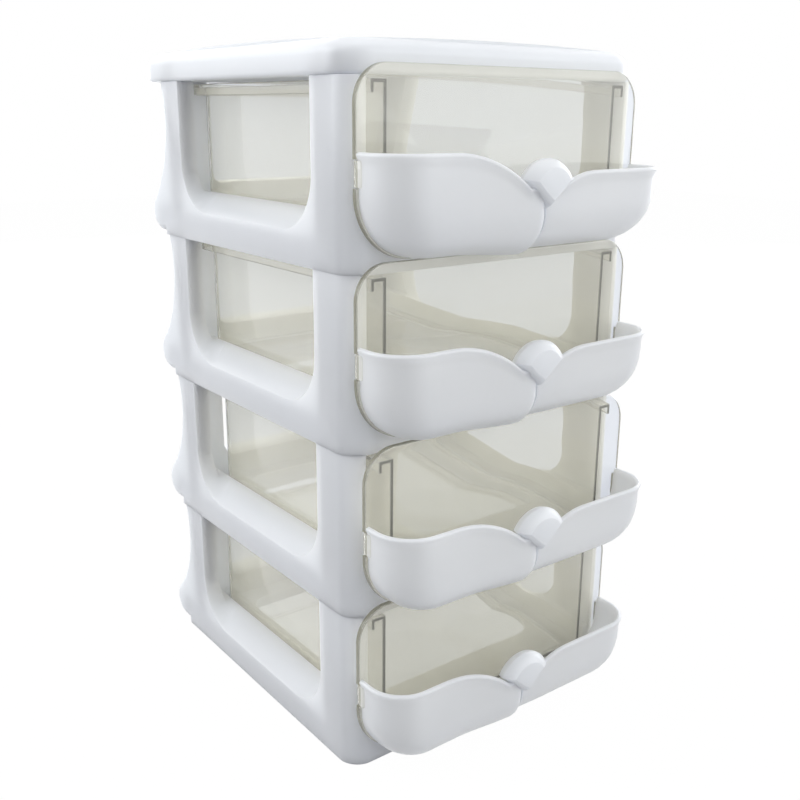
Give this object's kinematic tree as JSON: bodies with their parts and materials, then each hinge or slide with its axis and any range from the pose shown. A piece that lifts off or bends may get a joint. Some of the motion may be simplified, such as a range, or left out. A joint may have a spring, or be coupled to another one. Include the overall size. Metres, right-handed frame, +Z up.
{
  "type": "desktop mini drawers",
  "caption": "Small desktop drawer tower of stacked open-sided tiers with a flat lid; each clear tray slides out at the front by a white two-leaf scoop handle.",
  "frame": {"origin": "on the desk, under the middle of the whole object at rest", "axes": "+Z up, +X to the right as seen from the front, +Y to the rear; the drawers open towards -Y"},
  "size_m": [0.175, 0.234, 0.3375],
  "materials": {
    "white_plastic": "satin white moulded plastic",
    "clear_plastic": "clear moulded plastic with a slight cream tint"
  },
  "bodies": {
    "tower": {"top_lid": "white_plastic", "tier_frame_1": "white_plastic", "tier_frame_2": "white_plastic", "tier_frame_3": "white_plastic", "tier_frame_4": "white_plastic"},
    "drawer_1": {"drawer_tray_1": "clear_plastic", "drawer_front_1": "clear_plastic", "drawer_handle_1": "white_plastic"},
    "drawer_2": {"drawer_tray_2": "clear_plastic", "drawer_front_2": "clear_plastic", "drawer_handle_2": "white_plastic"},
    "drawer_3": {"drawer_tray_3": "clear_plastic", "drawer_front_3": "clear_plastic", "drawer_handle_3": "white_plastic"},
    "drawer_4": {"drawer_tray_4": "clear_plastic", "drawer_front_4": "clear_plastic", "drawer_handle_4": "white_plastic"}
  },
  "joints": [
    {"name": "drawer_1_slide", "type": "slide", "parent": "tower", "child": "drawer_1", "axis": [0, -1, 0], "range_m": [0, 0.118]},
    {"name": "drawer_2_slide", "type": "slide", "parent": "tower", "child": "drawer_2", "axis": [0, -1, 0], "range_m": [0, 0.118]},
    {"name": "drawer_3_slide", "type": "slide", "parent": "tower", "child": "drawer_3", "axis": [0, -1, 0], "range_m": [-0.0056, 0.1124]},
    {"name": "drawer_4_slide", "type": "slide", "parent": "tower", "child": "drawer_4", "axis": [0, -1, 0], "range_m": [0, 0.118]}
  ]
}
